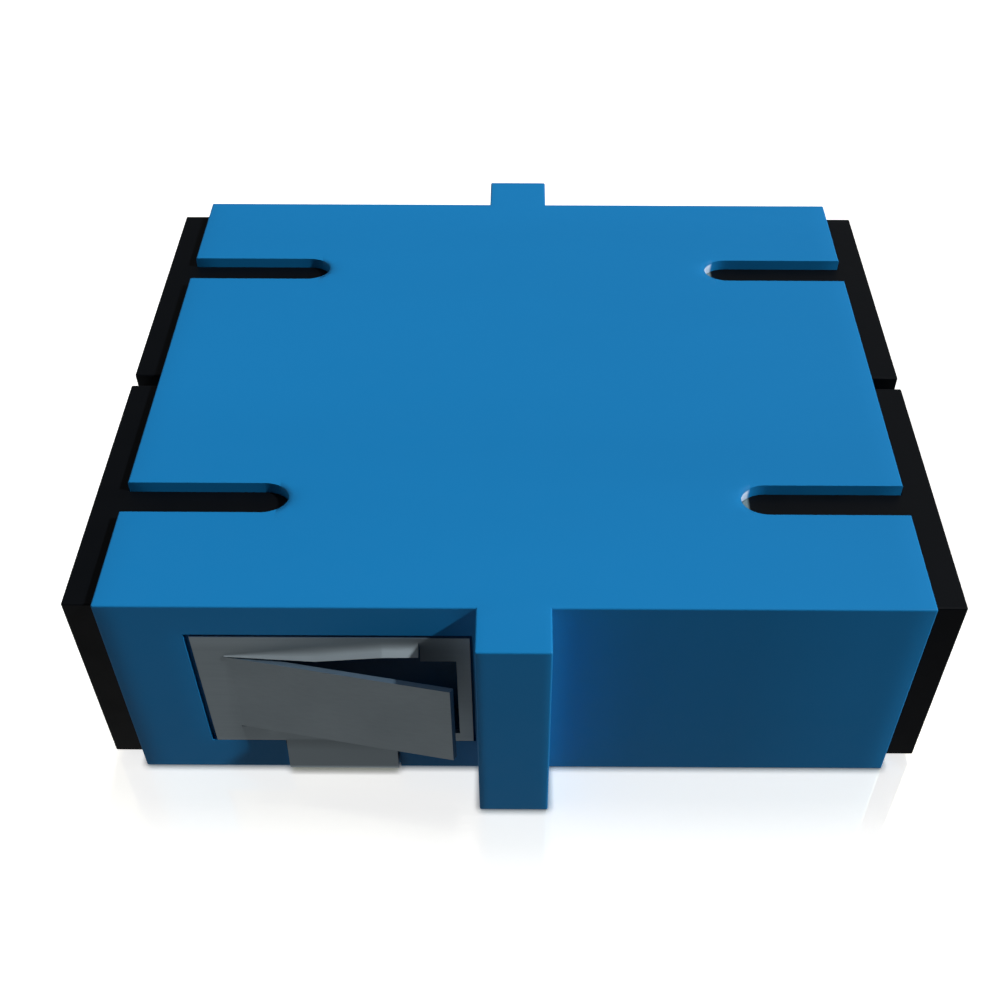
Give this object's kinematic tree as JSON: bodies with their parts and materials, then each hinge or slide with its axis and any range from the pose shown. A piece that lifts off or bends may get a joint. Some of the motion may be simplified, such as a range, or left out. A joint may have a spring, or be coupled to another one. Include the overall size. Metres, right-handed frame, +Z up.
{
  "type": "sc fibre adapter",
  "caption": "Duplex SC fibre adapter: moulded body with a reduced flange, split sleeves, a folded steel panel clip and pull-off dust caps.",
  "frame": {"origin": "under the middle of the body, on the face it rests on", "axes": "+X along the ferrule axes, away from the clip side of the flange; +Y across the ports, away from the picture's camera; +Z up, the side with the keyways"},
  "size_m": [0.0318, 0.0302, 0.0093],
  "materials": {
    "housing_blue": "satin moulded blue",
    "clip_steel": "satin grey sheet",
    "insert_plastic": "natural off-white",
    "sleeve_ceramic": "polished white",
    "cap_black": "fine matte black"
  },
  "bodies": {
    "adapter": {"housing": "housing_blue", "panel_clip": "clip_steel", "latch_insert_left_near": "insert_plastic", "latch_insert_left_far": "insert_plastic", "latch_insert_right_near": "insert_plastic", "latch_insert_right_far": "insert_plastic", "split_sleeve_near": "sleeve_ceramic", "split_sleeve_far": "sleeve_ceramic"},
    "cap_left_near": {"dust_cap_left_near": "cap_black"},
    "cap_left_far": {"dust_cap_left_far": "cap_black"},
    "cap_right_near": {"dust_cap_right_near": "cap_black"},
    "cap_right_far": {"dust_cap_right_far": "cap_black"}
  },
  "joints": [
    {"name": "pull_cap_left_near", "type": "slide", "parent": "adapter", "child": "cap_left_near", "axis": [-1, 0, 0], "range_m": [0, 0.012]},
    {"name": "pull_cap_left_far", "type": "slide", "parent": "adapter", "child": "cap_left_far", "axis": [-1, 0, 0], "range_m": [0, 0.012]},
    {"name": "pull_cap_right_near", "type": "slide", "parent": "adapter", "child": "cap_right_near", "axis": [1, 0, 0], "range_m": [0, 0.012]},
    {"name": "pull_cap_right_far", "type": "slide", "parent": "adapter", "child": "cap_right_far", "axis": [1, 0, 0], "range_m": [0, 0.012]}
  ]
}
